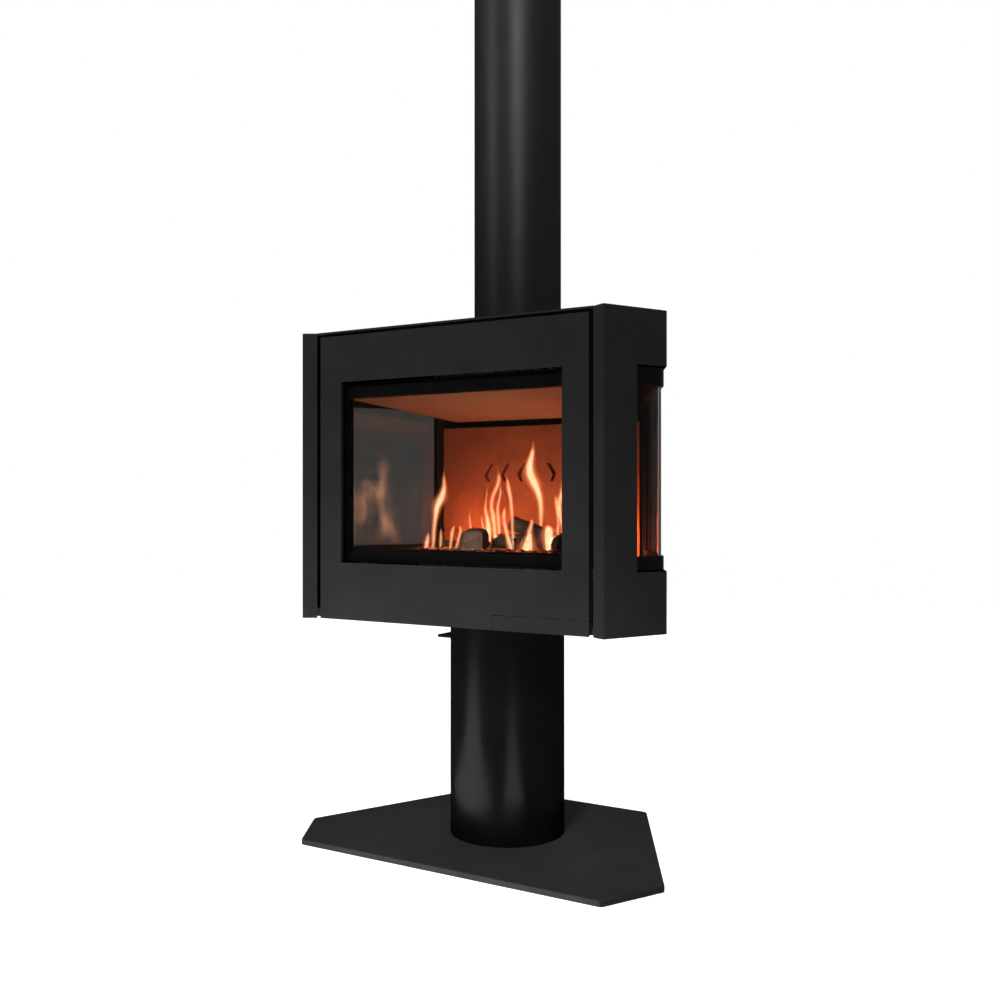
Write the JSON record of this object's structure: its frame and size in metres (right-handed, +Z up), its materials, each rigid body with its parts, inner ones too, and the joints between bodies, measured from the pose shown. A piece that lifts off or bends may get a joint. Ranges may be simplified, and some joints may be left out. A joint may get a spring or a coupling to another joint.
{
  "type": "pedestal gas fire",
  "caption": "Six-sided gas fire with a flat front window and a bent window round each side corner, on a round column and a floor plate, with a concentric flue.",
  "frame": {"origin": "on the floor under the axis of the column, centre of the floor plate", "axes": "+Z up, the window faces -Y, +X to the right seen along +Y"},
  "size_m": [0.6572, 0.426, 1.848],
  "materials": {
    "plate_paint": "matt black powder coat",
    "stand_paint": "matt black powder coat",
    "casing_paint": "matt black high-temperature paint",
    "front_paint": "matt black high-temperature paint",
    "flue_paint": "satin black flue paint",
    "stove_black": "dull black stove enamel",
    "raw_steel": "zinc-coated sheet steel",
    "zinc": "bright zinc plate",
    "black_zinc": "black zinc plate",
    "stainless": "stainless steel",
    "aluminised": "aluminised sheet steel",
    "heat_steel": "heat-darkened steel",
    "valve_alloy": "die-cast alloy",
    "aluminium_pipe": "drawn aluminium tube",
    "brass": "brass and copper",
    "magnet_nickel": "nickel plate",
    "ceramic_glass": "clear ceramic glass",
    "glass_rope": "black glass-fibre rope",
    "refractory": "fired vermiculite board",
    "burner_ceramic": "ceramic fibre board",
    "log_ceramic": "moulded ceramic log",
    "ember_ceramic": "ceramic ember chips",
    "black_plastic": "textured black plastic",
    "knob_plastic": "heat-proof black plastic",
    "red_plastic": "glossy red plastic"
  },
  "bodies": {
    "stove": {"base_plate": "plate_paint", "column": "stand_paint", "foot_ring": "raw_steel", "foot_bolts": "zinc", "head_ring": "raw_steel", "head_bolts": "zinc", "supply_pipe": "brass", "receiver_shelf": "stand_paint", "receiver_box": "black_plastic", "casing_tray": "casing_paint", "left_side_panel": "casing_paint", "right_side_panel": "casing_paint", "rear_panel": "casing_paint", "top_cover": "casing_paint", "casing_screws": "black_zinc", "front_panel": "front_paint", "panel_hangers": "raw_steel", "flap_hinge_pin": "stainless", "chamber_legs": "raw_steel", "chamber_shell": "stove_black", "chamber_floor": "stove_black", "chamber_roof": "stove_black", "back_wall": "refractory", "ceiling_baffle": "refractory", "front_glass": "ceramic_glass", "front_glass_frame": "stove_black", "front_rope_seal": "glass_rope", "front_frame_clamps": "black_zinc", "left_glass": "ceramic_glass", "right_glass": "ceramic_glass", "left_glass_frame": "stove_black", "right_glass_frame": "stove_black", "side_rope_seals": "glass_rope", "burner_tray": "heat_steel", "burner_bed": "burner_ceramic", "log_set": "log_ceramic", "ember_chips": "ember_ceramic", "pilot_burner": "stainless", "burner_box": "aluminised", "air_duct": "aluminised", "air_box": "aluminised", "gas_valve": "valve_alloy", "burner_pipe": "aluminium_pipe", "control_bracket": "raw_steel", "igniter_barrel": "black_plastic", "flap_magnet": "magnet_nickel", "flue_spigot": "stainless", "flue_restrictor": "stainless", "flue_collar": "flue_paint", "inner_flue": "stainless", "outer_flue": "flue_paint", "flue_spacers": "stainless"},
    "flap": {"control_flap": "front_paint"},
    "ignition": {"ignition_knob": "knob_plastic"},
    "flame": {"flame_knob": "knob_plastic"},
    "button": {"igniter_button": "red_plastic"}
  },
  "joints": [
    {"name": "flap_hinge", "type": "hinge", "parent": "stove", "child": "flap", "pos_m": [0.165, -0.1915, 0.3793], "axis": [1, 0, 0], "range_deg": [0, 90]},
    {"name": "ignition_turn", "type": "hinge", "parent": "stove", "child": "ignition", "pos_m": [0.121, -0.18, 0.3875], "axis": [0, -1, 0], "range_deg": [0, 180]},
    {"name": "flame_turn", "type": "hinge", "parent": "stove", "child": "flame", "pos_m": [0.165, -0.18, 0.3875], "axis": [0, -1, 0], "range_deg": [0, 270]},
    {"name": "igniter_push", "type": "slide", "parent": "stove", "child": "button", "axis": [0, 1, 0], "range_m": [0, 0.004], "stiffness_N_per_m": 1500, "springref_m": -0.002}
  ]
}
